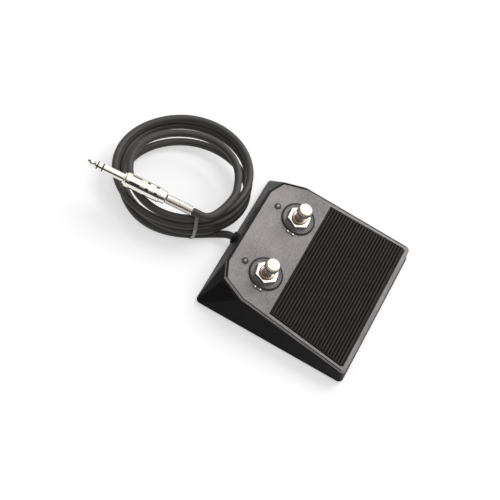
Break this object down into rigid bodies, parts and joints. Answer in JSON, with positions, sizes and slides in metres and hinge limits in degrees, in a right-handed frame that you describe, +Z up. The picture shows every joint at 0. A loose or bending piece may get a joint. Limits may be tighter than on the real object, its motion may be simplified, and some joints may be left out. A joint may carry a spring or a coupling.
{
  "type": "foot pedal switch",
  "caption": "Wedge-shaped foot pedal switch with domed push buttons, indicator lamps, a ribbed tread mat and a coiled lead that ends in a phone plug.",
  "frame": {"origin": "on the floor, below the middle of the casing (the cord and its fittings left out)", "axes": "+X to the operator's right, along the casing's width; +Y to the rear, where the cord leaves; +Z up"},
  "size_m": [0.1403, 0.2479, 0.0458],
  "materials": {
    "grey_paint": "satin",
    "black_paint": "fine matte",
    "mat_rubber": "matte",
    "black_rubber": "matte",
    "zinc_steel": "plain",
    "spring_steel": "bright drawn",
    "washer_enamel": "satin",
    "bright_nickel": "polished",
    "switch_nickel": "satin",
    "terminal_board": "laminate",
    "lamp_resin": "clear resin",
    "bezel_plastic": "semi gloss",
    "board_laminate": "laminate",
    "wire_insulation": "plain",
    "clamp_plastic": "plain",
    "cord_jacket": "satin",
    "tie_nylon": "plain",
    "plug_insulation": "plain",
    "plug_nickel": "polished"
  },
  "bodies": {
    "casing": {"base_plate": "black_paint", "board_screw_left": "zinc_steel", "board_screw_right": "zinc_steel", "body_shell": "black_paint", "cable_tie": "tie_nylon", "case_screw_front_left": "zinc_steel", "case_screw_front_right": "zinc_steel", "case_screw_rear_left": "zinc_steel", "case_screw_rear_right": "zinc_steel", "circuit_board": "board_laminate", "clamp_screw_left": "zinc_steel", "clamp_screw_right": "zinc_steel", "cord_clamp": "lamp_resin", "cord_coil": "cord_jacket", "cord_grommet": "black_rubber", "cord_lead": "cord_jacket", "cord_wire_1": "wire_insulation", "cord_wire_2": "wire_insulation", "cord_wire_3": "wire_insulation", "foot_front_left": "black_rubber", "foot_front_right": "black_rubber", "foot_rear_left": "black_rubber", "foot_rear_right": "black_rubber", "left_dress_washer": "washer_enamel", "left_lamp": "lamp_resin", "left_lamp_bezel": "bezel_plastic", "left_lock_washer": "zinc_steel", "left_panel_nut": "bright_nickel", "left_return_spring": "spring_steel", "left_switch_body": "switch_nickel", "left_terminals": "terminal_board", "plug_barrel": "plug_nickel", "plug_collar": "plug_nickel", "plug_front_insulator": "plug_insulation", "plug_rear_insulator": "plug_insulation", "plug_ring": "plug_nickel", "plug_sleeve": "plug_nickel", "plug_spring": "spring_steel", "plug_tip": "plug_nickel", "right_dress_washer": "washer_enamel", "right_lamp": "lamp_resin", "right_lamp_bezel": "bezel_plastic", "right_lock_washer": "zinc_steel", "right_panel_nut": "bright_nickel", "right_return_spring": "spring_steel", "right_switch_body": "switch_nickel", "right_terminals": "terminal_board", "top_cover": "grey_paint", "tread_mat": "mat_rubber"},
    "left_button": {"left_plunger": "bright_nickel", "left_button_cap": "bright_nickel"},
    "right_button": {"right_plunger": "bright_nickel", "right_button_cap": "bright_nickel"}
  },
  "joints": [
    {"name": "left_press", "type": "slide", "parent": "casing", "child": "left_button", "axis": [0, 0.1219, -0.9925], "range_m": [0, 0.0028], "stiffness_N_per_m": 2500, "springref_m": -0.0012, "deforming": ["left_return_spring"]},
    {"name": "right_press", "type": "slide", "parent": "casing", "child": "right_button", "axis": [0, 0.1219, -0.9925], "range_m": [0, 0.0028], "stiffness_N_per_m": 2500, "springref_m": -0.0012, "deforming": ["right_return_spring"]}
  ]
}
